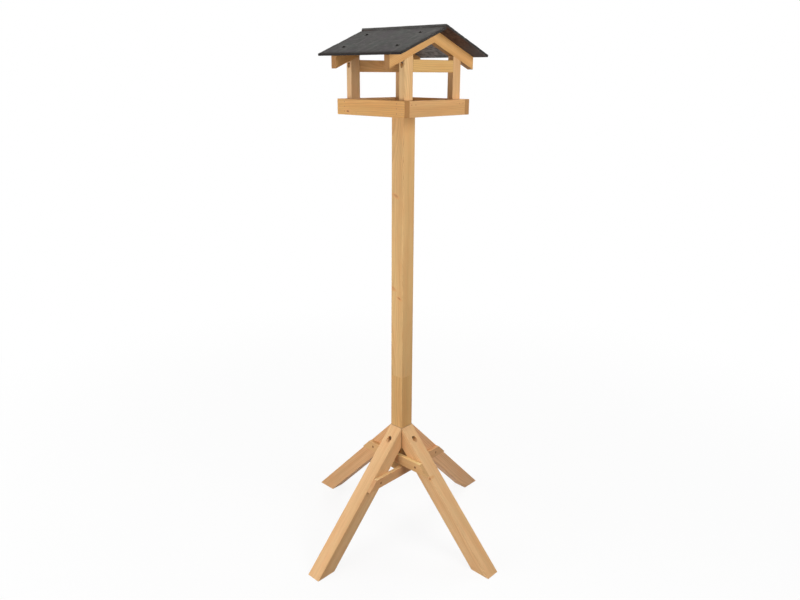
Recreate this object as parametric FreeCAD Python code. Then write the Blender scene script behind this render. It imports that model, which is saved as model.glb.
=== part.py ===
import FreeCAD, Part
import math
import os

os.makedirs("parts", exist_ok=True)

V = FreeCAD.Vector

# Bird table, in millimetres. The origin is on the ground, midway between the four feet.
# +Z is up, X runs along the roof's ridge, and -Y is the front.

# Square timber of the post and the legs
timber_side = 45.0
timber_easing = 1.8        # radius of the planed timber's long corners

# Post, in two lengths with a dowel where they meet
post_foot = 204.0          # height of its lower end above the ground
post_lower_length = 314.0
post_upper_length = 754.0
post_dowel_diameter = 20.0
post_dowel_length = 100.0

# Four legs, cut to lie flat against the post and flat on the ground
foot_spread = 730.0        # across the tips of opposite feet
leg_top = 355.0            # height at which their outer faces meet the post

# Coach screw of each leg, level, sunk in a round hole in the leg's sloping face
bolt_drop = 33.5           # from the leg's top down to the screw, on the outer face
bolt_grip = 16.0           # timber left between the screw's washer and the post
bolt_well = 15.0           # diameter of the round hole
bolt_bite = 18.0           # length in the post
bolt_shank = 6.0
bolt_flats = 10.0          # across the flats of the head
bolt_head = 4.0
bolt_chamfer = 25.0        # degrees, slope of the cone that breaks the head's corners
bolt_washer = 13.0
bolt_washer_thick = 1.2

# Two flat braces, one above the other, screwed to the sides of opposite legs
brace_height = 30.0
brace_thick = 12.5
brace_top = 268.0          # height of the upper brace's top edge
brace_gap = 6.0            # clear height where the braces cross
brace_easing = 1.0
brace_screw_length = 30.0
brace_screw_head = 7.5
brace_screw_shank = 4.0

# Tray of four boards round a floor
tray_length = 243.0        # along X
tray_width = 252.5         # along Y
board_height = 40.0
board_thick = 18.0
board_easing = 1.2
floor_thick = 12.0

# Screws from the floor down into the post
post_screw_length = 50.0
post_screw_head = 8.0
post_screw_shank = 4.0
post_screw_spacing = 22.0

# Nails of the tray: through the front and back boards into the ends of the side boards,
# through all four boards into the floor's edges, and through the side boards into the uprights
nail_shank = 2.0
nail_head = 3.2
nail_head_thick = 1.0
corner_nail_length = 40.0
corner_nail_low = 9.0      # above the tray's underside
corner_nail_step = 12.0
floor_nail_length = 35.0
floor_nail_spacing = 100.0
upright_nail_length = 32.0
upright_nail_drop = 10.0   # below the tray's top edge
upright_nail_spacing = 15.0

# Two gable frames: uprights, a cross beam and a pair of rafters, all of one thickness
frame_thick = 18.0
frame_easing = 1.0
upright_width = 31.0
upright_length = 123.5     # outer edge, from the tray's floor to the rafter
rafter_depth = 30.0
rafter_overhang = 52.0     # level distance from the upright's outer face to the rafter's end
roof_pitch = 21.5          # degrees
beam_height = 30.0
beam_drop = 28.5           # from the uprights' outer top corner to the beam's underside

# Screw from each upright up into its rafter, sunk in a slanting round hole
pocket_drop = 11.5         # from the upright's outer top corner to the middle of the hole
pocket_tilt = 45.0         # degrees, how steeply the screw rises
pocket_bore = 10.5
pocket_depth = 8.0         # along the screw, from the upright's face to the head's seat
pocket_screw_length = 40.0
pocket_screw_head = 8.0
pocket_screw_head_thick = 2.6
pocket_screw_shank = 4.0

# Dowels inside the frame joints
dowel_diameter = 6.0
dowel_length = 40.0
beam_dowel_rise = 8.0      # above the beam's underside

# Two slates. The back one laps over the top edge of the front one at the ridge.
slate_thick = 6.5
slate_bevel = 1.6          # dressed upper edges at the gables and the eave
slate_gable_overhang = 46.0
slate_eave_overhang = 4.0  # beyond the rafters' ends, along the slope
slate_seat = 0.3           # gap between the two slates at the ridge
slate_hole = 5.0
slate_screw_length = 30.0  # under the head
slate_screw_head = 8.0
slate_screw_head_thick = 2.4
slate_screw_shank = 4.0
slate_screw_high = 43.0    # upper screws from the ridge, along the slope
slate_screw_low = 45.0     # lower screws from the slate's lower edge

# Room left round each screw, nail and dowel, and the radius of a screw's or nail's blunt point
slack = 0.05
blunt = 0.4
head_rim = 0.8             # straight rim of a domed screw head
cross_span = 0.6           # share of a screw head's width that its cross slot spans
cross_slot = 1.1           # width of the slot
cross_depth = 1.3          # below the head's top

# Places that follow from the sizes above
half_timber = timber_side / 2
slope = math.atan2(leg_top, foot_spread / 2 - half_timber)
pitch = math.radians(roof_pitch)
post_joint = post_foot + post_lower_length
tray_under = post_joint + post_upper_length
tray_top = tray_under + board_height
floor_top = tray_under + floor_thick
half_length = tray_length / 2
half_width = tray_width / 2
gable_face = half_length - board_thick
frame_middle = gable_face - frame_thick / 2
upright_face = half_width - board_thick
upright_middle = upright_face - upright_width / 2
upright_inside = upright_face - upright_width
upright_top = floor_top + upright_length
ridge = upright_top + upright_face * math.tan(pitch) + rafter_depth / math.cos(pitch)
rafter_end = upright_face + rafter_overhang
beam_under = upright_top - beam_drop
reach = tray_under         # longer than any cut that trims a timber

sides = {"front": -1, "back": 1}
ends = {"left": -1, "right": 1}
pieces = {}
fasteners = {}


def timber(start, end, width, depth, easing, across):
    """Bar with eased long corners along the line from start to end; its width runs across."""
    line = end - start
    bar = Part.makeBox(line.Length, width, depth, V(0, -width / 2, -depth / 2))
    corners = [edge for edge in bar.Edges if abs(edge.tangentAt(edge.FirstParameter).x) > 0.9]
    bar = bar.makeFillet(easing, corners)
    turn = FreeCAD.Rotation(line, across, line.cross(across), "XYZ")
    bar.Placement = FreeCAD.Placement(start, turn)
    return bar


def trimmed(shape, point, outward):
    """The shape without what lies beyond the plane through point that faces outward."""
    block = Part.makeBox(2 * reach, 2 * reach, reach, V(-reach, -reach, 0))
    block.Placement = FreeCAD.Placement(point, FreeCAD.Rotation(V(0, 0, 1), outward))
    return shape.cut(block)


def turned(profile):
    """Solid turned round Z from a list of (radius, height) points."""
    points = [V(radius, 0, height) for radius, height in profile]
    return Part.Face(Part.makePolygon(points + points[:1])).revolve(V(0, 0, 0), V(0, 0, 1), 360)


def aimed(shape, start, direction):
    """A shape made pointing down from the origin, moved to start and pointed in direction."""
    moved = shape.copy()
    moved.Placement = FreeCAD.Placement(start, FreeCAD.Rotation(V(0, 0, -1), direction))
    return moved


def shank(width, length, more=0.0):
    """Plain round shank with a point, hanging down from the origin."""
    radius = width / 2 + more
    profile = [(0, 0), (radius, 0), (radius, -length + width)]
    return turned(profile + [(blunt + more, -length - more), (0, -length - more)])


def well(width, depth):
    """Clear round way in above the origin."""
    return Part.makeCylinder(width / 2, depth)


def crossed(screw, head, top):
    """The screw with a cross slot in its head; each slot narrows downwards like a keel."""
    half_span = head * cross_span / 2
    outline = [V(-half_span, 0, top), V(half_span, 0, top), V(half_span / 3, 0, top - cross_depth),
               V(-half_span / 3, 0, top - cross_depth), V(-half_span, 0, top)]
    for angle in (0, 90):
        slot = Part.Face(Part.makePolygon(outline)).extrude(V(0, cross_slot, 0))
        slot.translate(V(0, -cross_slot / 2, 0))
        slot.rotate(V(0, 0, 0), V(0, 0, 1), angle)
        screw = screw.cut(slot)
    return screw


def countersunk(head, width, length, more=0.0):
    """Screw with a flat head that is level with the surface it is driven into."""
    outer = head / 2 + more
    inner = width / 2 + more
    profile = [(0, 0), (outer, 0), (inner, inner - outer), (inner, -length + width)]
    return turned(profile + [(blunt + more, -length - more), (0, -length - more)])


def round_head(head, thick):
    """Low domed screw head above the origin."""
    radius = head / 2
    dome_rise = thick - head_rim
    dome_radius = (radius ** 2 + dome_rise ** 2) / (2 * dome_rise)
    half_turn = math.asin(radius / dome_radius) / 2
    halfway = V(dome_radius * math.sin(half_turn), 0, thick - dome_radius * (1 - math.cos(half_turn)))
    dome = Part.Arc(V(0, 0, thick), halfway, V(radius, 0, head_rim)).toShape()
    rest = Part.makePolygon([V(radius, 0, head_rim), V(radius, 0, 0), V(0, 0, 0), V(0, 0, thick)])
    return Part.Face(Part.Wire([dome] + rest.Edges)).revolve(V(0, 0, 0), V(0, 0, 1), 360)


def nail(length, more=0.0):
    """Nail with a small flat head level with the surface."""
    head = nail_head / 2 + more
    body = nail_shank / 2 + more
    profile = [(0, 0), (head, 0), (head, -nail_head_thick - more), (body, -nail_head_thick - more)]
    profile.append((body, -length + nail_shank))
    return turned(profile + [(blunt + more, -length - more), (0, -length - more)])


def dowel_rod(width, length, more=0.0):
    """Plain round rod along Z with its middle at the origin."""
    half_rod = length / 2 + more
    return Part.makeCylinder(width / 2 + more, 2 * half_rod, V(0, 0, -half_rod))


def drill(room, start, direction, names):
    """Take the room for one fastener out of the pieces that it goes through."""
    hole = aimed(room, start, direction)
    for name in names:
        pieces[name] = pieces[name].cut(hole)


def drive(group, solid, room, start, direction, names):
    """Put one fastener in its group, and drill its room."""
    fasteners.setdefault(group, []).append(aimed(solid, start, direction))
    drill(room, start, direction, names)


# Post
for name, foot, top in (("post_lower", post_foot, post_joint), ("post_upper", post_joint, tray_under)):
    pieces[name] = timber(V(0, 0, foot), V(0, 0, top), timber_side, timber_side, timber_easing, V(0, 1, 0))

# Legs: each is a bar on its slope, cut upright against the post and level at the ground
down = V(math.cos(slope), 0, -math.sin(slope))
inward = V(-math.sin(slope), 0, -math.cos(slope))
leg_middle = V(half_timber, 0, leg_top) + inward * half_timber
leg_run = leg_top / math.sin(slope) + 2 * timber_side
leg = timber(leg_middle - down * 2 * timber_side, leg_middle + down * leg_run,
             timber_side, timber_side, timber_easing, V(0, 1, 0))
leg = trimmed(leg, V(half_timber, 0, 0), V(-1, 0, 0))
leg = trimmed(leg, V(0, 0, 0), V(0, 0, -1))
leg_turns = {"right": 0, "back": 90, "left": 180, "front": 270}
for place, angle in leg_turns.items():
    turned_leg = leg.copy()
    turned_leg.rotate(V(0, 0, 0), V(0, 0, 1), angle)
    pieces["leg_" + place] = turned_leg


def leg_outside(height):
    """Level distance from the post's middle to a leg's outer face."""
    return half_timber + (leg_top - height) / math.tan(slope)


# Braces: the upper one runs along X before the post, the lower one along Y on its right
brace_out = half_timber + brace_thick / 2
brace_face = half_timber + brace_thick
upper_middle = brace_top - brace_height / 2
lower_middle = upper_middle - brace_height - brace_gap


def brace(height):
    """Brace along X at the front, with its ends cut in line with the legs' outer faces."""
    half_run = leg_outside(height) + brace_height
    bar = timber(V(-half_run, -brace_out, height), V(half_run, -brace_out, height),
                 brace_thick, brace_height, brace_easing, V(0, 1, 0))
    for way in (-1, 1):
        bar = trimmed(bar, V(way * half_timber, 0, leg_top), V(way * math.sin(slope), 0, math.cos(slope)))
    return bar


pieces["brace_upper"] = brace(upper_middle)
pieces["brace_lower"] = brace(lower_middle)
pieces["brace_lower"].rotate(V(0, 0, 0), V(0, 0, 1), 90)

# Coach screws of the legs, with their washers
hexagon = []
for corner in range(7):
    turn = math.radians(60 * corner)
    corner_out = bolt_flats / 2 / math.cos(math.radians(30))
    hexagon.append(V(corner_out * math.cos(turn), corner_out * math.sin(turn), 0))
bolt_cone_height = bolt_head + bolt_flats / 2 * math.tan(math.radians(bolt_chamfer))
bolt_cone_radius = bolt_cone_height / math.tan(math.radians(bolt_chamfer))
bolt_head_solid = Part.Face(Part.makePolygon(hexagon)).extrude(V(0, 0, bolt_head))
bolt_head_solid = bolt_head_solid.common(Part.makeCone(bolt_cone_radius, 0, bolt_cone_height))
bolt_under_head = bolt_grip + bolt_bite + bolt_washer_thick
bolt = bolt_head_solid.fuse(shank(bolt_shank, bolt_under_head)).removeSplitter()
washer = Part.makeCylinder(bolt_washer / 2, bolt_washer_thick)
washer = washer.cut(Part.makeCylinder(bolt_shank / 2 + 4 * slack, bolt_washer_thick))
bolt_level = leg_top - bolt_drop
bolt_seat = half_timber + bolt_grip
bolt_room = well(bolt_well, leg_outside(bolt_level - bolt_well) - bolt_seat)
bolt_hole = shank(bolt_shank, bolt_under_head, slack)
for place, angle in leg_turns.items():
    away = V(math.cos(math.radians(angle)), math.sin(math.radians(angle)), 0)
    seat = away * bolt_seat + V(0, 0, bolt_level)
    head_seat = seat + away * bolt_washer_thick
    drill(bolt_room, seat, -away, ["leg_" + place])
    drive("leg_bolts", bolt, bolt_hole, head_seat, -away, ["leg_" + place, "post_lower"])
    fasteners.setdefault("leg_washers", []).append(aimed(washer, seat, -away))

# Screws at the braces' ends, one into each leg
brace_screw = countersunk(brace_screw_head, brace_screw_shank, brace_screw_length)
brace_screw = crossed(brace_screw, brace_screw_head, 0)
brace_screw_room = countersunk(brace_screw_head, brace_screw_shank, brace_screw_length, slack)
for way, upper_leg, lower_leg in ((-1, "leg_left", "leg_front"), (1, "leg_right", "leg_back")):
    half_leg = timber_side / math.sin(slope) / 2
    upper_out = way * (leg_outside(upper_middle) - half_leg)
    lower_out = way * (leg_outside(lower_middle) - half_leg)
    drive("brace_screws", brace_screw, brace_screw_room, V(upper_out, -brace_face, upper_middle),
          V(0, 1, 0), ["brace_upper", upper_leg])
    drive("brace_screws", brace_screw, brace_screw_room, V(brace_face, lower_out, lower_middle),
          V(-1, 0, 0), ["brace_lower", lower_leg])

# Tray: the front and back boards run the whole length, the side boards fit between them
board_middle = tray_under + board_height / 2
for name, way in sides.items():
    level = way * (half_width - board_thick / 2)
    first = V(-half_length, level, board_middle)
    last = V(half_length, level, board_middle)
    pieces["tray_" + name] = timber(first, last, board_thick, board_height, board_easing, V(0, 1, 0))
for name, way in ends.items():
    level = way * (half_length - board_thick / 2)
    first = V(level, -upright_face, board_middle)
    last = V(level, upright_face, board_middle)
    pieces["tray_" + name] = timber(first, last, board_thick, board_height, board_easing, V(1, 0, 0))
pieces["tray_floor"] = Part.makeBox(2 * gable_face, 2 * upright_face, floor_thick,
                                    V(-gable_face, -upright_face, tray_under))

# Gable frames
for end, along in ends.items():
    frame_x = along * frame_middle
    for side, across in sides.items():
        name = side + "_" + end

        # Rafter, cut upright at the ridge and at the eave
        fall = V(0, across * math.cos(pitch), -math.sin(pitch))
        rafter_middle = V(frame_x, 0, ridge - rafter_depth / math.cos(pitch) / 2)
        rafter_run = rafter_end / math.cos(pitch) + rafter_depth
        rafter = timber(rafter_middle - fall * rafter_depth, rafter_middle + fall * rafter_run,
                        frame_thick, rafter_depth, frame_easing, V(1, 0, 0))
        rafter = trimmed(rafter, V(0, 0, ridge), V(0, -across, 0))
        pieces["rafter_" + name] = trimmed(rafter, V(0, across * rafter_end, ridge), V(0, across, 0))

        # Upright, from the tray's floor to the underside of the rafter
        upright_y = across * upright_middle
        upright = timber(V(frame_x, upright_y, floor_top), V(frame_x, upright_y, ridge),
                         frame_thick, upright_width, frame_easing, V(1, 0, 0))
        upright_corner = V(frame_x, across * upright_face, upright_top)
        off_rafter = V(0, across * math.sin(pitch), math.cos(pitch))
        pieces["upright_" + name] = trimmed(upright, upright_corner, off_rafter)

    # Cross beam between the uprights
    first = V(frame_x, -upright_inside, beam_under + beam_height / 2)
    last = V(frame_x, upright_inside, beam_under + beam_height / 2)
    pieces["beam_" + end] = timber(first, last, frame_thick, beam_height, frame_easing, V(1, 0, 0))

# Slates: the back one reaches past the ridge, over the upper edge of the front one
slate_half = gable_face + slate_gable_overhang
slate_eave = rafter_end / math.cos(pitch) + slate_eave_overhang
front_start = slate_thick / math.tan(2 * pitch) + slate_seat / math.sin(2 * pitch)
back_start = -(front_start + slate_thick * math.tan(pitch))
slate_starts = {"front": front_start, "back": back_start}
for side, across in sides.items():
    fall = V(0, across * math.cos(pitch), -math.sin(pitch))
    lift = V(0, across * math.sin(pitch), math.cos(pitch))
    middle = V(0, 0, ridge) + lift * (slate_thick / 2)
    start = middle + fall * slate_starts[side]
    line = middle + fall * slate_eave - start
    plate = Part.makeBox(line.Length, 2 * slate_half, slate_thick, V(0, -slate_half, -slate_thick / 2))
    lit = [edge for edge in plate.Edges
           if edge.BoundBox.ZMin > 0 and edge.BoundBox.XMax > line.Length / 2]
    plate = plate.makeChamfer(slate_bevel, lit)
    plate.Placement = FreeCAD.Placement(start, FreeCAD.Rotation(line, V(1, 0, 0), V(0, 0, 1), "XYZ"))
    pieces["slate_" + side] = plate

# Dowel inside the post's joint
post_dowel = dowel_rod(post_dowel_diameter, post_dowel_length)
post_dowel_room = dowel_rod(post_dowel_diameter, post_dowel_length, slack)
drive("post_dowel", post_dowel, post_dowel_room, V(0, 0, post_joint), V(0, 0, -1),
      ["post_lower", "post_upper"])

# Screws from the tray's floor into the post
post_screw = countersunk(post_screw_head, post_screw_shank, post_screw_length)
post_screw = crossed(post_screw, post_screw_head, 0)
post_screw_room = countersunk(post_screw_head, post_screw_shank, post_screw_length, slack)
for along in (-1, 1):
    for across in (-1, 1):
        spot = V(along * post_screw_spacing / 2, across * post_screw_spacing / 2, floor_top)
        drive("post_screws", post_screw, post_screw_room, spot, V(0, 0, -1), ["tray_floor", "post_upper"])

# Nails at the tray's corners and into its floor
corner_nail = nail(corner_nail_length)
corner_nail_room = nail(corner_nail_length, slack)
floor_nail = nail(floor_nail_length)
floor_nail_room = nail(floor_nail_length, slack)
floor_level = tray_under + floor_thick / 2
for side, across in sides.items():
    for end, along in ends.items():
        for step in (0, 1):
            level = tray_under + corner_nail_low + step * corner_nail_step
            spot = V(along * (half_length - board_thick / 2), across * half_width, level)
            drive("corner_nails", corner_nail, corner_nail_room, spot, V(0, -across, 0),
                  ["tray_" + side, "tray_" + end])
        spot = V(along * floor_nail_spacing / 2, across * half_width, floor_level)
        drive("floor_nails", floor_nail, floor_nail_room, spot, V(0, -across, 0),
              ["tray_" + side, "tray_floor"])
        spot = V(along * half_length, across * floor_nail_spacing / 2, floor_level)
        drive("floor_nails", floor_nail, floor_nail_room, spot, V(-along, 0, 0),
              ["tray_" + end, "tray_floor"])

# Nails through the side boards into the uprights
upright_nail = nail(upright_nail_length)
upright_nail_room = nail(upright_nail_length, slack)
for end, along in ends.items():
    for side, across in sides.items():
        for step in (-1, 1):
            spot = V(along * half_length, across * upright_middle + step * upright_nail_spacing / 2,
                     tray_top - upright_nail_drop)
            drive("upright_nails", upright_nail, upright_nail_room, spot, V(-along, 0, 0),
                  ["tray_" + end, "upright_" + side + "_" + end])

# Screws from the uprights into the rafters, and the dowels of the frames
tilt = math.radians(pocket_tilt)
pocket_screw = crossed(round_head(pocket_screw_head, pocket_screw_head_thick),
                       pocket_screw_head, pocket_screw_head_thick)
pocket_screw = pocket_screw.fuse(shank(pocket_screw_shank, pocket_screw_length)).removeSplitter()
pocket_well = well(pocket_bore, pocket_depth + pocket_bore)
pocket_hole = shank(pocket_screw_shank, pocket_screw_length, slack)
dowel = dowel_rod(dowel_diameter, dowel_length)
dowel_room = dowel_rod(dowel_diameter, dowel_length, slack)
for end, along in ends.items():
    frame_x = along * frame_middle
    for side, across in sides.items():
        name = side + "_" + end
        rise = V(0, -across * math.cos(tilt), math.sin(tilt))
        seat = V(frame_x, across * upright_face, upright_top - pocket_drop) + rise * pocket_depth
        drill(pocket_well, seat, rise, ["upright_" + name])
        drive("upright_screws", pocket_screw, pocket_hole, seat, rise, ["upright_" + name, "rafter_" + name])
        spot = V(frame_x, across * upright_inside, beam_under + beam_dowel_rise)
        drive("frame_dowels", dowel, dowel_room, spot, V(0, 1, 0), ["upright_" + name, "beam_" + end])
    spot = V(frame_x, 0, ridge - rafter_depth / math.cos(pitch) / 2)
    drive("frame_dowels", dowel, dowel_room, spot, V(0, 1, 0), ["rafter_front_" + end, "rafter_back_" + end])

# Screws through the slates into the rafters
slate_screw = crossed(round_head(slate_screw_head, slate_screw_head_thick),
                      slate_screw_head, slate_screw_head_thick)
slate_screw = slate_screw.fuse(shank(slate_screw_shank, slate_screw_length)).removeSplitter()
slate_screw_room = shank(slate_screw_shank, slate_screw_length, slack)
slate_screw_hole = Part.makeCylinder(slate_hole / 2, 3 * slate_thick, V(0, 0, -2 * slate_thick))
for end, along in ends.items():
    for side, across in sides.items():
        fall = V(0, across * math.cos(pitch), -math.sin(pitch))
        lift = V(0, across * math.sin(pitch), math.cos(pitch))
        for distance in (slate_screw_high, slate_eave - slate_screw_low):
            spot = V(along * frame_middle, 0, ridge) + fall * distance + lift * slate_thick
            drill(slate_screw_hole, spot, -lift, ["slate_" + side])
            drive("slate_screws", slate_screw, slate_screw_room, spot, -lift, ["rafter_" + side + "_" + end])

for name, shape in pieces.items():
    shape.exportStep("parts/" + name + ".step")
for name, solids in fasteners.items():
    Part.makeCompound(solids).exportStep("parts/" + name + ".step")
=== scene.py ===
import math
from collections import namedtuple

import bmesh
import bpy
from mathutils import Matrix, Vector, noise


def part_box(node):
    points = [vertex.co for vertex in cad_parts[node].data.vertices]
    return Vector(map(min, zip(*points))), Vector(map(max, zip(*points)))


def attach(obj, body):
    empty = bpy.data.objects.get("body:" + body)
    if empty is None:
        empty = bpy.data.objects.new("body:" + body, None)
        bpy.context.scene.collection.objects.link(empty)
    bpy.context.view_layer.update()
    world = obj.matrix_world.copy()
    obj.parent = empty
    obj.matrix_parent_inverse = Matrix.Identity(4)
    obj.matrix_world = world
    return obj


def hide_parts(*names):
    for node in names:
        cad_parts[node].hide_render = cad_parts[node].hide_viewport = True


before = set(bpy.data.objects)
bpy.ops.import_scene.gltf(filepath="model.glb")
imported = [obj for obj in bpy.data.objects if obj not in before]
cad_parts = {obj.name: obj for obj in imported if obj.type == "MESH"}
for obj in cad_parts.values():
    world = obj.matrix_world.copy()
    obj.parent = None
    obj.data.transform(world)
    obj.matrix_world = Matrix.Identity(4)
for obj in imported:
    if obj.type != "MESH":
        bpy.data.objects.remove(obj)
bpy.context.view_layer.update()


# Post
# A square post of planed pine with a honey-coloured stain, in two lengths that meet end to end.
# The grain runs up it, and the longer, upper length shows a few small knots on its front.


def display(red, green, blue):
    """Colour as seen on a screen, 0 to 255, as the light that it stands for."""
    light = [((part / 255 + 0.055) / 1.055) ** 2.4 for part in (red, green, blue)]
    return (*light, 1.0)


def end_of(node, axis):
    """The middle of the end at which a straight timber starts, on axis 0, 1 or 2."""
    low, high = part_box(node)
    place = (low + high) / 2
    place[axis] = low[axis]
    return place


class Shade:
    """What varies over a surface. Sums and products of it become nodes beside its own."""

    def __init__(self, nodes, socket):
        self.nodes = nodes
        self.socket = socket

    def work_out(self, operation, first, second=None):
        """One Math node, with one number or two."""
        inputs = {0: first} if second is None else {0: first, 1: second}
        return self.nodes.add("Math", {"operation": operation}, inputs)

    def __add__(self, other):
        return self.work_out("ADD", self, other)

    def __radd__(self, other):
        return self.work_out("ADD", other, self)

    def __sub__(self, other):
        return self.work_out("SUBTRACT", self, other)

    def __rsub__(self, other):
        return self.work_out("SUBTRACT", other, self)

    def __mul__(self, other):
        return self.work_out("MULTIPLY", self, other)

    def __rmul__(self, other):
        return self.work_out("MULTIPLY", other, self)

    def __truediv__(self, other):
        return self.work_out("DIVIDE", self, other)

    def __rtruediv__(self, other):
        return self.work_out("DIVIDE", other, self)

    def __abs__(self):
        return self.work_out("ABSOLUTE", self)

    def fraction(self):
        return self.work_out("FRACT", self)

    def root(self):
        return self.work_out("SQRT", self)

    def most(self, other):
        return self.work_out("MAXIMUM", self, other)

    def rise(self, low, high):
        """0 at low and 1 at high, smooth between them; low may be the larger."""
        settings = {"interpolation_type": "SMOOTHSTEP"}
        return self.nodes.add("MapRange", settings, {0: self, 1: low, 2: high})


class Nodes:
    """The nodes of one material, or of the backdrop."""

    def __init__(self, tree):
        self.tree = tree

    def add(self, kind, settings, inputs, output=0):
        """Adds one node: its settings first, then the values or links of its sockets."""
        node = self.tree.nodes.new("ShaderNode" + kind)
        for name, value in settings.items():
            setattr(node, name, value)
        for name, value in inputs.items():
            self.join(value, node.inputs[name])
        return Shade(self, node.outputs[output])

    def join(self, value, socket):
        """Links what varies to a socket, and sets a plain value on it."""
        if isinstance(value, Shade):
            self.tree.links.new(value.socket, socket)
        else:
            socket.default_value = value


class Finish(Nodes):
    """A material under construction, with its shader at hand."""

    def __init__(self, name):
        self.material = bpy.data.materials.new(name)
        self.material.use_nodes = True
        super().__init__(self.material.node_tree)
        self.shader = self.tree.nodes["Principled BSDF"]
        self.place = self.add("TexCoord", {}, {}, "Object")

    def reach(self, vector, direction):
        """How far a vector reaches in a direction."""
        settings = {"operation": "DOT_PRODUCT"}
        return self.add("VectorMath", settings, {0: vector, 1: direction}, "Value")

    def axes(self, start, *directions):
        """How far a place lies from start in each direction."""
        offset = self.add("VectorMath", {"operation": "SUBTRACT"}, {0: self.place, 1: start})
        return [self.reach(offset, direction) for direction in directions]

    def grain(self, u, v, w, scales, detail=2.0, rough=0.5):
        """Noise stretched by three scales, 0 to 1."""
        vector = self.add("CombineXYZ", {}, {0: u * scales[0], 1: v * scales[1], 2: w * scales[2]})
        inputs = {"Vector": vector, "Scale": 1.0, "Detail": detail, "Roughness": rough}
        return self.add("TexNoise", {}, inputs)

    def wander(self, value):
        """Smooth noise along a line, 0 to 1."""
        inputs = {"W": value, "Scale": 1.0, "Detail": 1.0}
        return self.add("TexNoise", {"noise_dimensions": "1D"}, inputs)

    def mottle(self, scale, detail):
        """Noise alike in all directions, 0 to 1."""
        return self.add("TexNoise", {}, {"Vector": self.place, "Scale": scale, "Detail": detail})

    def blend(self, share, first, second, way="MIX"):
        """Mix of two colours."""
        settings = {"data_type": "RGBA", "blend_type": way}
        return self.add("Mix", settings, {0: share, 6: first, 7: second}, 2)

    def scaled(self, colour, red, green, blue):
        """A colour with its three parts multiplied, each by a number of its own."""
        share = self.add("CombineXYZ", {}, {0: red, 1: green, 2: blue})
        return self.blend(1.0, colour, share, "MULTIPLY")

    def dress(self, node, colour, rough, height, depth, metal=0.0):
        """Joins the varying parts to the shader and gives the finish to a node or a new piece."""
        self.join(colour, self.shader.inputs["Base Color"])
        self.join(rough, self.shader.inputs["Roughness"])
        self.shader.inputs["Metallic"].default_value = metal
        bump = self.add("Bump", {}, {"Strength": 1.0, "Distance": depth, "Height": height})
        self.join(bump, self.shader.inputs["Normal"])
        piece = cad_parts[node] if isinstance(node, str) else node
        piece.data.materials.clear()
        piece.data.materials.append(self.material)


stain_pale = display(235, 192, 131)
stain_mid = display(219, 172, 110)
stain_deep = display(186, 134, 78)
stain_warm = display(222, 160, 98)
stain_cool = display(212, 180, 120)
stain_end = display(149, 108, 70)
# Pale stain for the painted light on upward faces
top_light_colour = display(252, 228, 158)
# Brown for painted shade
shade_brown = display(104, 66, 34)
knot_blush = display(228, 160, 100)
knot_heart = display(150, 94, 56)
knot_rim = display(160, 100, 60)

# Where a knot is along the timber, across it and square to it, half its width, the face that it
# is on, "across" or "square", and how dark its heart is
Knot = namedtuple("Knot", "far aside out half face dark")


def grain_past_knots(finish, u, v, w, knots, squeeze, seed):
    """Pushes the grain aside at the knots: gives the new v and w, and what shows of each knot."""
    lean, root, swerve, fray = 0.32, 0.012, 0.7, 0.5
    hearts = []
    for far, aside, out, half, face, dark in knots:
        if face == "across":
            cross, inward = w - out, v * math.copysign(1, aside)
        else:
            cross, inward = v - aside, w * math.copysign(1, out)
        depth = inward.rise(0.0, root)
        run = (u - far + cross * lean) * squeeze
        span = (run * run + cross * cross).root()
        push = span.rise(half * 2.6, half * 0.3) * depth
        ragged = (finish.wander(cross * 240.0 + seed) - 0.5) * fray
        hearts.append((span / half + ragged, run, depth, push, dark))
        if face == "across":
            w = w - cross * push * swerve
        else:
            v = v - cross * push * swerve
    return v, w, hearts


def late_wood(finish, u, v, w, pith, seed):
    """The dark part of each year ring, 0 to 1, round a heart that wanders along the timber."""
    year_ring, heart_sway, ring_ripple, ring_odds = 0.0028, 0.036, 0.0035, 1.6
    heart_v = v - pith[0] - (finish.wander(u * 1.7 + seed) - 0.5) * heart_sway
    heart_w = w - pith[1] - (finish.wander(u * 1.4 + seed + 31.0) - 0.5) * heart_sway
    ripple = finish.grain(u, v, w, (5.0, 38.0, 38.0)) - 0.5
    radius = (heart_v * heart_v + heart_w * heart_w).root() + ripple * ring_ripple
    year = (radius / year_ring + finish.wander(radius * 55.0 + seed) * ring_odds).fraction()
    return year.rise(0.2, 0.85) * year.rise(1.0, 0.9)


def knot_colours(finish, colour, hearts):
    """Paints the knots: gives the colour with them, and where their cracked rims are, 0 to 1."""
    rims = 0.0
    for span, run, depth, push, dark in hearts:
        colour = finish.blend(push * span.rise(1.0, 1.6) * 0.4, colour, stain_pale)
        colour = finish.blend(span.rise(2.4, 1.0) * depth * 0.6, colour, knot_blush)
        colour = finish.blend(span.rise(1.0, 0.5) * depth * dark, colour, knot_heart)
        rim = span.rise(0.6, 0.9) * span.rise(1.25, 0.95) * depth * run.rise(-0.004, 0.004)
        colour = finish.blend(rim * 0.4, colour, knot_rim)
        rims = rims + rim
    return colour, rims


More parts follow.
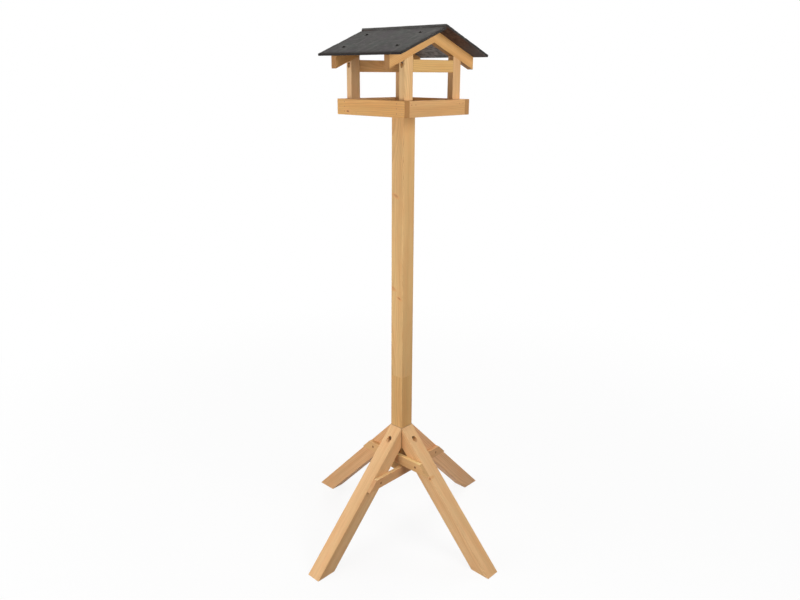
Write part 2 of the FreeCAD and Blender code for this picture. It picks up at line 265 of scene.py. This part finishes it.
def pine(node, start, along, across, pith, seed, tint, knots=(), knot_squeeze=2.1, dark_end=0.72,
         painted_top_light=None, painted_shade_band=None, painted_under_shade=0.0):
    """Stained pine. start is on the timber's middle line, and along runs with the grain.

    pith is where the tree's heart lay from that line, across and square to it. seed gives each
    timber a grain of its own, and tint is how it takes the stain in red, green and blue. Each knot
    is a branch cut askew, knot_squeeze times as wide as it is long. dark_end is how much the end
    grain darkens. The argument after it is a painted light on the upward faces: how much paler they
    are painted, how far along that starts, and how far along it is full. The next is a painted
    shade: a direction, the reach in it at which the shade is full, how much further it fades, and
    how dark it is. The last is how dark the undersides are painted, a painted shade.
    """
    finish = Finish(node + "_pine")
    along = Vector(along).normalized()
    across = Vector(across).normalized()
    u, v, w = finish.axes(start, along, across, along.cross(across))
    v, w, hearts = grain_past_knots(finish, u, v, w, knots, knot_squeeze, seed)
    late = late_wood(finish, u, v, w, pith, seed)
    fibre = finish.grain(u, v, w, (16.0, 520.0, 520.0), detail=4.0, rough=0.6)
    streak = finish.grain(u + seed, v, w, (1.6, 62.0, 62.0), detail=3.0)
    cloud = finish.grain(u + seed, v, w, (3.5, 9.0, 9.0), detail=1.0)
    patch = finish.grain(u - seed, v, w, (14.0, 44.0, 44.0))
    fleck = finish.grain(u, v, w, (55.0, 1500.0, 1500.0), detail=1.0).rise(0.66, 0.74)
    normal = finish.add("NewGeometry", {}, {}, "True Normal")
    end = abs(finish.reach(normal, along)).rise(0.55, 0.95)

    colour = finish.blend((streak - 0.5) * 1.8 + 0.5, stain_pale, stain_mid)
    colour = finish.blend(late * (streak * 0.5 + 0.08), colour, stain_deep)
    warmth = (patch - 0.5) * 1.2
    colour = finish.blend(warmth, colour, stain_warm)
    colour = finish.blend(0.0 - warmth, colour, stain_cool)
    colour = finish.blend(end * dark_end, colour, stain_end)
    # Upward faces painted paler, a painted light
    if painted_top_light:
        pale, light_from, light_full = painted_top_light
        upper_side = finish.reach(normal, (0, 0, 1)).rise(0.8, 0.95)
        top_light = upper_side * u.rise(light_from, light_full) * pale
        colour = finish.blend(top_light, colour, top_light_colour)
    # A painted shade, full up to a reach in one direction and fading beyond it
    if painted_shade_band:
        way, full, fade, dark = painted_shade_band
        band_shade = finish.reach(finish.place, way).rise(full + fade, full) * dark
        colour = finish.blend(band_shade, colour, shade_brown)
    # Undersides painted darker, a painted shade
    if painted_under_shade:
        underside = finish.reach(normal, (0, 0, -1)).rise(0.8, 0.9)
        colour = finish.blend(underside * painted_under_shade, colour, shade_brown)
    shade = (fibre - 0.5) * 0.30 + (cloud - 0.5) * 0.20 - fleck * 0.06 + 1.0
    colour = finish.scaled(colour, *[shade * part for part in tint])
    colour, rims = knot_colours(finish, colour, hearts)

    height = fibre * 0.5 + late * 0.35 - fleck * 0.25 - rims * 0.2
    rough = 0.58 + fibre * 0.14 + end * 0.16 - late * 0.05
    finish.shader.inputs["Specular IOR Level"].default_value = 0.3
    finish.dress(node, colour, rough, height, depth=0.00022)


rightwards, backwards, upwards = (1, 0, 0), (0, 1, 0), (0, 0, 1)
post_foot, post_joint = end_of("post_lower", 2), end_of("post_upper", 2)
half_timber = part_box("post_lower")[1].x
# The post's foot is painted darker up to a little above the braces, a painted shade
foot_shade_top, foot_shade_fade, foot_shade_dark = 0.27, 0.05, 0.35
pine("post_lower", post_foot, upwards, rightwards, pith=(0.031, 0.040), seed=3.1,
     tint=(0.96, 0.91, 0.85), painted_shade_band=(upwards, foot_shade_top, foot_shade_fade, foot_shade_dark))

# Height, place across the front face, half width and darkness of each knot
post_knots = (
    (1.055, -0.0060, 0.0080, 0.35),
    (0.788, -0.0160, 0.0080, 0.15),
    (0.762, 0.0090, 0.0060, 0.5),
)
pine("post_upper", post_joint, upwards, rightwards, pith=(-0.026, 0.052), seed=8.4,
     tint=(1.05, 1.06, 1.10), knots=[
         Knot(height - post_joint.z, aside, -half_timber, half, "square", dark)
         for height, aside, half, dark in post_knots])


# Dowel of the post
# A plain turned beech dowel, glued into both lengths of the post where they meet, and out of
# sight.

beech_pale, beech_mid, beech_ray = display(214, 178, 138), display(190, 150, 108), display(160, 116, 78)


def beech(node, start, along):
    """Pale, close-grained beech with short darker rays."""
    finish = Finish(node + "_beech")
    along = Vector(along)
    across = Vector((along.z, along.x, along.y))
    u, v, w = finish.axes(start, along, across, along.cross(across))
    fibre = finish.grain(u, v, w, (20.0, 600.0, 600.0), detail=3.0)
    rays = finish.grain(u, v, w, (180.0, 1400.0, 900.0), detail=1.0).rise(0.6, 0.7)
    colour = finish.blend(fibre, beech_pale, beech_mid)
    colour = finish.blend(rays * 0.4, colour, beech_ray)
    finish.dress(node, colour, 0.6 + fibre * 0.15, fibre - rays * 0.4, depth=0.0001)


beech("post_dowel", post_joint, upwards)


# Legs
# Four lengths of the same timber as the post, mitred to lie against its faces and cut level at
# the ground. Each one's round hole holds the coach screw that pulls it to the post.

foot_reach, _, leg_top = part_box("leg_right")[1]
leg_slope = math.atan2(leg_top, foot_reach - half_timber)
leg_knot = Knot(far=0.171, aside=-half_timber, out=0.0185, half=0.0034, face="across", dark=0.9)
leg_looks = {
    "right": (0, dict(pith=(0.030, 0.034), seed=1.7, tint=(1.15, 1.15, 1.36), knots=[leg_knot])),
    "back": (90, dict(pith=(0.052, -0.028), seed=4.2, tint=(1.17, 1.12, 1.43))),
    "left": (180, dict(pith=(-0.036, 0.044), seed=6.6, tint=(1.02, 0.95, 1.10))),
    "front": (270, dict(pith=(-0.029, 0.050), seed=9.3, tint=(1.11, 1.11, 1.32))),
}
# Painted shade in the joint between leg and post: how far it comes out, fades, and how dark it is
joint_shade_reach, joint_shade_fade, joint_shade_dark = 0.0009, 0.0016, 0.5
for side, (angle, looks) in leg_looks.items():
    turn = Matrix.Rotation(math.radians(angle), 3, "Z")
    outward = turn @ Vector(rightwards)
    along = turn @ Vector((math.cos(leg_slope), 0, -math.sin(leg_slope)))
    upper_face = turn @ Vector((math.sin(leg_slope), 0, math.cos(leg_slope)))
    start = turn @ Vector((half_timber, 0, leg_top)) - upper_face * half_timber
    pine("leg_" + side, start, along, turn @ Vector(backwards), **looks, knot_squeeze=1.1,
         painted_shade_band=(outward, half_timber + joint_shade_reach, joint_shade_fade, joint_shade_dark))


# Braces
# Two flat battens of the same pine, one above the other, each screwed to the sides of two
# opposite legs. Their ends are cut in line with the legs' outer faces.

brace_out, upper_height, lower_height = 0.02875, 0.253, 0.217
upper_start, lower_start = -0.14, -0.175
# How much paler the braces' upper faces are painted, a painted light, and how much their end grain
# darkens
brace_top_light, brace_end = 0.8, 0.25
# Where along each brace the painted light on its upper face starts, and where it is full
upper_top_light, lower_top_light = (0.05, 0.12), (0.30, 0.22)
pine("brace_upper", (upper_start, -brace_out, upper_height), rightwards, upwards,
     pith=(0.024, 0.036), seed=2.3, tint=(1.0, 0.96, 1.02), dark_end=brace_end,
     painted_top_light=(brace_top_light, *upper_top_light))
pine("brace_lower", (brace_out, lower_start, lower_height), backwards, upwards,
     pith=(-0.03, 0.028), seed=5.9, tint=(0.99, 0.90, 1.02), dark_end=brace_end,
     painted_top_light=(brace_top_light, *lower_top_light))


# Coach screws of the legs, with their washers
# Zinc-plated steel, dulled by the weather. Each screw and its washer sit at the bottom of a leg's
# round hole.


def zinc(node, dark, pale):
    """Zinc plate, dulled from pale to dark, with rusty specks."""
    finish = Finish(node + "_zinc")
    bloom = finish.mottle(260.0, detail=4.0)
    speck = finish.mottle(1900.0, detail=2.0)
    rust = speck.rise(0.56, 0.68)
    colour = finish.blend(bloom.rise(0.35, 0.65), dark, pale)
    colour = finish.blend(rust * 0.6, colour, display(74, 56, 42))
    rough = 0.38 + bloom * 0.2 + rust * 0.2
    finish.dress(node, colour, rough, speck, depth=0.00004, metal=1.0)


zinc("leg_bolts", dark=display(100, 94, 84), pale=display(150, 144, 134))
zinc("leg_washers", dark=display(110, 104, 94), pale=display(160, 154, 144))


# Screws of the braces
# One small countersunk steel screw at each end of a brace, level with its face, its plating gone
# brown.

zinc("brace_screws", dark=display(138, 98, 64), pale=display(176, 128, 86))


# Tray boards
# Four planed pine boards round the floor. The front and back ones run the whole length, so their
# darker end grain shows at the gable sides. The front one has a small knot near its left end.

front_start = end_of("tray_front", 0)
knot_x, knot_height, half_board = -0.0818, 1.281, 0.009
tray_knot = Knot(far=knot_x - front_start.x, aside=knot_height - front_start.z, out=half_board,
                 half=0.0030, face="square", dark=1.0)
pine("tray_front", front_start, rightwards, upwards, pith=(0.03, -0.045), seed=1.2,
     tint=(1.05, 0.925, 0.755), knots=[tray_knot], knot_squeeze=0.55)
pine("tray_back", end_of("tray_back", 0), rightwards, upwards, pith=(-0.035, 0.04), seed=7.7,
     tint=(1.07, 0.99, 0.88))
side_looks = {
    "tray_left": dict(pith=(0.028, 0.05), seed=3.9, tint=(0.88, 0.88, 1.01)),
    "tray_right": dict(pith=(0.04, -0.03), seed=5.1, tint=(0.90, 0.82, 0.81)),
}
for node, looks in side_looks.items():
    start = end_of(node, 1)
    start.y = front_start.y
    pine(node, start, backwards, upwards, **looks)


# Tray floor
# One panel inside the boards, glued up from planed pine and nailed through them. It is screwed to
# the top of the post.

pine("tray_floor", end_of("tray_floor", 0), rightwards, backwards, pith=(0.02, -0.07), seed=6.3,
     tint=(0.92, 0.87, 0.80))


# Screws from the tray's floor into the post
# Four yellow-plated countersunk steel screws, driven down through the floor, with their heads
# level with it.

zinc("post_screws", dark=display(178, 134, 84), pale=display(222, 182, 124))


# Nails of the tray
# Steel nails with small flat heads level with the boards, stained over with them so that they
# hardly show.


def stained(node, dark, pale):
    """Honey stain over steel nail heads, from dark to pale, on a node or a new piece."""
    name = node if isinstance(node, str) else node.name
    finish = Finish(name + "_stained")
    patch = finish.mottle(420.0, detail=3.0)
    colour = finish.blend(patch.rise(0.35, 0.7), dark, pale)
    finish.dress(node, colour, 0.45 + patch * 0.2, patch, depth=0.00005)


for node in ("corner_nails", "floor_nails"):
    stained(node, dark=display(192, 144, 92), pale=display(218, 168, 112))


# Uprights
# Four short square-edged pine battens that carry the roof. They stand in the tray's corners, and
# their tops are cut to the roof's slope.

upright_looks = {
    "front_left": dict(pith=(0.03, 0.03), seed=1.9, tint=(1.12, 1.18, 1.48)),
    "front_right": dict(pith=(-0.025, 0.045), seed=4.8, tint=(1.10, 1.15, 1.30)),
    "back_left": dict(pith=(0.04, -0.02), seed=7.1, tint=(0.95, 0.93, 1.03)),
    "back_right": dict(pith=(0.022, 0.04), seed=9.9, tint=(1.03, 1.01, 1.17)),
}
for corner, looks in upright_looks.items():
    node = "upright_" + corner
    pine(node, end_of(node, 2), upwards, backwards, **looks)


# Fixings of the uprights
# Two nails through a side board and three through the front or back board hold each upright, their
# heads stained over. A plated screw at the bottom of a slanting round hole holds its rafter.


def new_piece(form, name):
    """A piece of its own, from the mesh that is shaped and in its place."""
    mesh = bpy.data.meshes.new(name)
    form.to_mesh(mesh)
    form.free()
    piece = bpy.data.objects.new(name, mesh)
    bpy.context.collection.objects.link(piece)
    return piece


nail_half, nail_cap, nail_proud = 0.0017, 0.0006, 0.0001
nail_heights = (1.281, 1.293, 1.305)
nail_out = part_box("tray_back")[1].y + nail_proud - nail_cap / 2
heads = bmesh.new()
for corner in upright_looks:
    x, y, _ = end_of("upright_" + corner, 2)
    side = math.copysign(1, y)
    quarter = Matrix.Rotation(math.radians(-90 * side), 4, "X")
    for height in nail_heights:
        seat = Matrix.Translation((x, side * nail_out, height)) @ quarter
        bmesh.ops.create_cone(heads, cap_ends=True, segments=24, radius1=nail_half,
                              radius2=nail_half * 0.85, depth=nail_cap, matrix=seat)
bmesh.ops.recalc_face_normals(heads, faces=heads.faces)
board_nails = new_piece(heads, "board_nails")
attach(board_nails, "root")
for node in (board_nails, "upright_nails"):
    stained(node, dark=display(172, 110, 60), pale=display(200, 138, 82))
zinc("upright_screws", dark=display(120, 116, 108), pale=display(172, 168, 160))


# Cross beams
# A short pine batten between the two uprights of each gable, with a hidden dowel in each of its
# square-cut ends.

beam_looks = {
    "beam_left": dict(pith=(0.018, -0.04), seed=2.8, tint=(0.99, 0.91, 0.88)),
    "beam_right": dict(pith=(-0.03, -0.035), seed=8.8, tint=(0.96, 0.93, 0.80)),
}
for node, looks in beam_looks.items():
    pine(node, end_of(node, 1), backwards, upwards, **looks)


# Rafters
# A pair of pine battens on each gable, mitred together at the ridge and cut upright at the eaves.
# Their undersides are painted darker, a painted shade.

pitch, ridge, rafter_depth = math.radians(21.5), 1.48239, 0.030
toward = {"front": -1, "back": 1}
rafter_looks = {
    ("front", "left"): dict(pith=(0.02, 0.035), seed=3.4),
    ("front", "right"): dict(pith=(-0.028, 0.03), seed=6.1),
    ("back", "left"): dict(pith=(0.035, -0.025), seed=8.2),
    ("back", "right"): dict(pith=(0.024, -0.038), seed=1.4),
}
for (side, gable), looks in rafter_looks.items():
    node = "rafter_" + side + "_" + gable
    start = (end_of(node, 1).x, 0, ridge - rafter_depth / math.cos(pitch) / 2)
    fall = (0, toward[side] * math.cos(pitch), -math.sin(pitch))
    pine(node, start, fall, rightwards, **looks, tint=(1.01, 0.91, 0.80), painted_under_shade=0.45)


# Dowels of the gable frames
# Small beech dowels, one in each end of a beam and one across each pair of rafters at the ridge.
# They are glued in, and out of sight.

frame_middle = (0, 0, 1.4)
beech("frame_dowels", frame_middle, backwards)


# Slates
# Two plates of riven slate on the rafters, trimmed so that their edges are a little rough. The back
# one laps over the upper edge of the front one, which is cut slightly out of square.

slate_thick, slate_half, slate_eave = 0.0065, 0.1495, 0.17623
# How far down the slope each slate starts, how much narrower it gets to the eave, and its seed
slates = {"front": (0.00741, 0.0055, 2.0), "back": (-0.00997, 0.0, 14.0)}
screw_x, screw_high, screw_low = 0.0945, 0.043, slate_eave - 0.045
trim_least, trim_spread, trim_grit = 0.0003, 0.0013, 0.0004
split_upper, split_under = 0.0009, 0.0005
spall_width, spall_depth = 0.006, 0.0006
plate_columns, plate_rows, on_edge = 140, 82, 1e-5

slate_dark, slate_pale, slate_drift = display(62, 61, 59), display(84, 82, 80), display(100, 98, 93)
slate_purple, slate_green = display(80, 70, 76), display(70, 77, 72)
# The first and the last colours here are painted shade: for the underlit edges and for the screw holes
slate_edge_shade, slate_chip, slate_hole_shade = display(38, 32, 29), display(136, 134, 128), display(26, 24, 22)
under_dark, under_pale, under_grey = display(108, 107, 109), display(156, 155, 155), display(96, 93, 94)
# Painted shade with painted warm light from the wood, for the underside beyond the gables
under_bounce_dark, under_bounce_pale = display(72, 54, 45), display(108, 82, 70)


def riven(x, s, seed):
    """Height lost to the natural, stepped cleavage of the slate's face, 0 to 1."""
    broad = noise.fractal(Vector((x * 9, s * 16, seed)), 1.0, 2.0, 3)
    steps = noise.fractal(Vector((x * 22, s * 34, seed + 9)), 0.9, 2.0, 4) * 3.2
    terrace = math.floor(steps)
    edge = min(1.0, (steps - terrace) * 6)
    return min(1.0, max(0.0, 0.42 + broad * 0.55 + (terrace + edge) * 0.09))


def trimmed(t, seed):
    """How far the trimmed edge lies in at a place along it, 0 to 1."""
    jag = noise.noise(Vector((t * 95, seed, 0))) * 0.4 + noise.noise(Vector((t * 290, seed, 3))) * 0.3
    bite = max(0.0, noise.noise(Vector((t * 38, seed, 7))) - 0.35) * 1.6
    return min(1.0, max(0.0, 0.3 + jag + bite))


def split_plate(run, taper, seed):
    """A slate lying flat, with its slope along y: both faces riven, three edges trimmed."""
    form = bmesh.new()
    bmesh.ops.create_grid(form, x_segments=plate_columns, y_segments=plate_rows, size=0.5)
    bmesh.ops.scale(form, vec=(slate_half * 2, run, 1), verts=form.verts)
    grown = bmesh.ops.extrude_face_region(form, geom=form.faces[:])["geom"]
    upper = [item for item in grown if isinstance(item, bmesh.types.BMVert)]
    bmesh.ops.translate(form, vec=(0, 0, slate_thick), verts=upper)
    walls = [edge for edge in form.edges
             if abs(edge.verts[0].co.z - edge.verts[1].co.z) > slate_thick / 2]
    bmesh.ops.subdivide_edges(form, edges=walls, cuts=3, use_grid_fill=True)
    for vert in form.verts:
        x, s, n = vert.co
        inside_gable = slate_half - abs(x)
        inside_eave = run / 2 - s
        share = n / slate_thick
        lean = trim_least + trim_spread * share ** 1.5
        grit = noise.noise(Vector((x * 420, s * 420, n * 900 + seed))) * trim_grit
        if inside_gable < on_edge:
            cut = trimmed(s, seed + (3 if x > 0 else 5)) * lean + grit
            vert.co.x -= math.copysign(max(0.0, cut), x)
        if inside_eave < on_edge:
            vert.co.y -= max(0.0, trimmed(x, seed + 7) * lean + grit)
        if x > 0:
            vert.co.x -= taper * (s / run + 0.5) * x / slate_half
        if share > 0.9:
            spall = max(0.0, 1 - min(inside_gable, inside_eave) / spall_width)
            crumbled = spall_depth * spall * trimmed(x + s, seed + 21)
            vert.co.z -= split_upper * riven(x, s, seed) + crumbled
        elif share < 0.1:
            vert.co.z += split_under * riven(x, s, seed + 40)
    for face in form.faces:
        face.smooth = abs(face.normal.z) > 0.5
    return form


def upper_slate(finish, x, s, n, run, seed, normal, fall):
    """Mid grey with soft drifts down the slope, and a dark band of painted shade at the eave and the
    gables.

    x, s and n run along the eave, down the slope and out of it, from the slate's middle. Gives
    the colour, and what it is made of: the riven cleavage, the drifts, the blotches and the dust.
    """
    cleave = finish.grain(x + seed, s, n, (42.0, 60.0, 260.0), detail=6.0, rough=0.6)
    drift = finish.grain(s + x * 0.1, x, n, (9.0, 50.0, 40.0), detail=4.0, rough=0.6)
    blotch = finish.grain(x, s, n + seed, (80.0, 80.0, 200.0), detail=3.0)
    tinge = finish.grain(x - seed, s, n, (22.0, 22.0, 20.0))
    dust = finish.grain(x, s, n, (900.0, 900.0, 900.0))
    chip = finish.grain(x, s, n, (160.0, 160.0, 700.0), detail=3.0)
    ragged = (cleave - 0.5) * 0.03 + (blotch - 0.5) * 0.02
    gable = (slate_half - abs(x) + ragged).rise(0.020, 0.003)
    eave = (run / 2 - s + ragged * 0.3).rise(0.012, 0.005)

    colour = finish.blend(cleave.rise(0.3, 0.7), slate_dark, slate_pale)
    colour = finish.blend(drift.rise(0.52, 0.7) * 0.5, colour, slate_drift)
    colour = finish.blend(blotch.rise(0.48, 0.3) * 0.6, colour, slate_dark)
    colour = finish.blend(blotch.rise(0.56, 0.7) * 0.5, colour, slate_drift)
    colour = finish.blend(tinge.rise(0.54, 0.68) * 0.35, colour, slate_purple)
    colour = finish.blend(tinge.rise(0.46, 0.32) * 0.35, colour, slate_green)
    colour = finish.blend(dust.rise(0.62, 0.74) * 0.2, colour, slate_chip)
    paler = 0.965 - s * 0.9
    colour = finish.scaled(colour, paler, paler, paler)
    # Painted shade on the underlit edges along the gables and the eave
    colour = finish.blend(gable * 0.6, colour, slate_edge_shade)
    colour = finish.blend(eave * 0.7, colour, slate_edge_shade)
    border = (slate_half - abs(x)).rise(0.020, 0.002)
    flaked = border * chip.rise(0.60, 0.68) * s.rise(0.03, -0.03)
    colour = finish.blend(flaked * 0.5, colour, slate_chip)
    # The upper edge is painted paler, a painted light that makes it as bright as the sheen on the face
    upper_edge_light = finish.reach(normal, fall).rise(-0.5, -0.8)
    colour = finish.blend(upper_edge_light * 0.6, colour, slate_pale)
    return colour, cleave, drift, blotch, dust


def weathered_slate(slate, side, start, run, seed, middle, level, fall, lift):
    """Riven slate; its underside is painted warm and dark beyond the gables, a painted shade with
    painted light thrown back from the wood, and paler between them; dark rings round the screws are
    painted shade for their holes.
    """
    finish = Finish("slate_" + side)
    x, s, n = finish.axes(middle, level, fall, lift)
    normal = finish.add("NewGeometry", {}, {}, "True Normal")
    colour, cleave, drift, blotch, dust = upper_slate(finish, x, s, n, run, seed, normal, fall)

    under = finish.reach(normal, lift).rise(-0.3, -0.8)
    between_gables = abs(x).rise(0.104, 0.086)
    inner = finish.blend(blotch.rise(0.35, 0.65), under_dark, under_pale)
    # Beyond the gables the underside is painted warm and dark: painted shade with painted light thrown
    # back from the wood
    outer = finish.blend(blotch.rise(0.35, 0.65), under_bounce_dark, under_bounce_pale)
    outer = finish.blend(s.rise(-0.01, 0.06) * 0.8, outer, under_grey)
    colour = finish.blend(under * 0.9, colour, finish.blend(between_gables, outer, inner))

    for across in (-screw_x, screw_x):
        for down in (screw_high, screw_low):
            aside = x - across
            below = s - (down - start - run / 2)
            ring = (aside * aside + below * below).root() + (cleave - 0.5) * 0.004
            colour = finish.blend(ring.rise(0.0150, 0.0100) * 0.15, colour, slate_chip)
            # A dark ring round each screw is painted shade for a hole that the mesh does not have
            colour = finish.blend(ring.rise(0.0085, 0.0062) * 0.8, colour, slate_hole_shade)
    rough = 0.66 + cleave * 0.22 - drift.rise(0.55, 0.75) * 0.06
    finish.shader.inputs["Specular IOR Level"].default_value = 0.12
    finish.dress(slate, colour, rough, cleave * 0.7 + dust * 0.12, depth=0.0006)


for side, (start, taper, seed) in slates.items():
    run = slate_eave - start
    level = Vector((-toward[side], 0, 0))
    fall = Vector((0, toward[side] * math.cos(pitch), -math.sin(pitch)))
    lift = Vector((0, toward[side] * math.sin(pitch), math.cos(pitch)))
    middle = Vector((0, 0, ridge)) + fall * (start + run / 2)
    lay = Matrix((level, fall, lift)).transposed().to_4x4()
    form = split_plate(run, taper, seed)
    bmesh.ops.transform(form, matrix=lay, verts=form.verts)
    bmesh.ops.translate(form, vec=middle, verts=form.verts)
    # Laying it on the slope mirrors it, so its faces are turned outwards only now
    bmesh.ops.recalc_face_normals(form, faces=form.faces)
    slate = new_piece(form, "slate_riven_" + side)
    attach(slate, "root")
    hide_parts("slate_" + side)
    weathered_slate(slate, side, start, run, seed, middle, level, fall, lift)


# Screws of the slates
# Four domed steel screws with a dark finish hold each slate. They go through its holes into the
# rafters.

zinc("slate_screws", dark=display(16, 15, 14), pale=display(30, 28, 26))


# Studio
# A pale floor under soft lamps, and the camera where the photograph was taken. The backdrop and
# most of the floor's light are white to the eye alone, and the floor keeps a soft shadow.

floor_half = 30.0
ground = bmesh.new()
bmesh.ops.create_grid(ground, x_segments=1, y_segments=1, size=floor_half)
floor = new_piece(ground, "floor")


def seen(nodes):
    """1 for what the camera, a reflection or clear glass sees, 0 for light that falls on things."""
    eye = nodes.add("LightPath", {}, {}, "Is Camera Ray")
    glint = nodes.add("LightPath", {}, {}, "Is Glossy Ray")
    clear = nodes.add("LightPath", {}, {}, "Is Transmission Ray")
    return eye.most(glint).most(clear)


# How white the floor is to the eye near the object, and between which distances it grows full
white_near, near, far = 0.88, 0.6, 2.4
paper_bright, paper_dim = (0.98, 0.98, 0.98, 1), (0.4, 0.4, 0.4, 1)
paper = Finish("floor_paper")
paper.shader.inputs["Roughness"].default_value = 0.9
paper.shader.inputs["Specular IOR Level"].default_value = 0.0
paper.join(paper.blend(seen(paper), paper_dim, paper_bright), paper.shader.inputs["Base Color"])
away = paper.add("VectorMath", {"operation": "LENGTH"}, {0: paper.place}, "Value")
whiteness = away.rise(near, far) * (1 - white_near) + white_near
white = paper.add("Emission", {}, {"Color": (1, 1, 1, 1), "Strength": 1.0})
lit = Shade(paper, paper.shader.outputs[0])
surface = paper.add("MixShader", {}, {0: seen(paper) * whiteness, 1: lit, 2: white})
paper.join(surface, paper.tree.nodes["Material Output"].inputs["Surface"])
floor.data.materials.append(paper.material)

world = bpy.data.worlds.new("studio")
bpy.context.scene.world = world
world.use_nodes = True
backdrop = Nodes(world.node_tree)
sky = backdrop.tree.nodes["Background"]
sky.inputs["Color"].default_value = (1, 1, 1, 1)
sky_light = 0.14
backdrop.join(seen(backdrop) * (1 - sky_light) + sky_light, sky.inputs["Strength"])

# Where each lamp stands, what it aims at, the width of its square face, and its power
lamps = {
    "left": ((-2.0, -2.0, 1.2), (0, 0, 0.9), 1.2, 21),
    "front_low": ((-0.3, -2.8, 0.55), (0, 0, 0.9), 1.2, 28),
    "front_high": ((-1.0, -2.7, 3.1), (0, 0, 0.9), 1.8, 11),
    "above": ((-0.2, -0.3, 3.0), (0, 0, 0.5), 1.6, 16),
    "right": ((1.5, 0.05, 1.45), (0, 0, 1.2), 0.9, 16),
    "back": ((-0.6, 2.0, 2.6), (0, 0, 0.7), 1.6, 30),
}
for name, (place, aim, width, power) in lamps.items():
    light = bpy.data.lights.new("lamp_" + name, "AREA")
    light.shape = "SQUARE"
    light.size = width
    light.energy = power
    lamp = bpy.data.objects.new("lamp_" + name, light)
    lamp.location = place
    lamp.visible_camera = False
    lamp.rotation_euler = (Vector(place) - Vector(aim)).to_track_quat("Z", "Y").to_euler()
    bpy.context.collection.objects.link(lamp)

# The camera's turn round the object, its dip and its roll in degrees, and its focal length in pixels
view_turn, view_dip, view_roll, focal = 43.28, 17.69, 0.33, 710
photo_width, sensor = 800, 36.0
nearest_seen, furthest_seen = 0.05, 100.0
lens = bpy.data.cameras.new("camera")
lens.sensor_fit = "HORIZONTAL"
lens.sensor_width = sensor
lens.lens = sensor * focal / photo_width
lens.clip_start, lens.clip_end = nearest_seen, furthest_seen
camera = bpy.data.objects.new("camera", lens)
turn = Matrix.Rotation(math.radians(view_turn), 3, "Z")
tilt = Matrix.Rotation(math.radians(90 - view_dip), 3, "X")
roll = Matrix.Rotation(math.radians(view_roll), 3, "Z")
camera.rotation_euler = (turn @ tilt @ roll).to_euler()
camera.location = (1.3376, -1.4299, 1.3757)
bpy.context.collection.objects.link(camera)
bpy.context.scene.camera = camera
bpy.context.scene.view_settings.view_transform = "Standard"
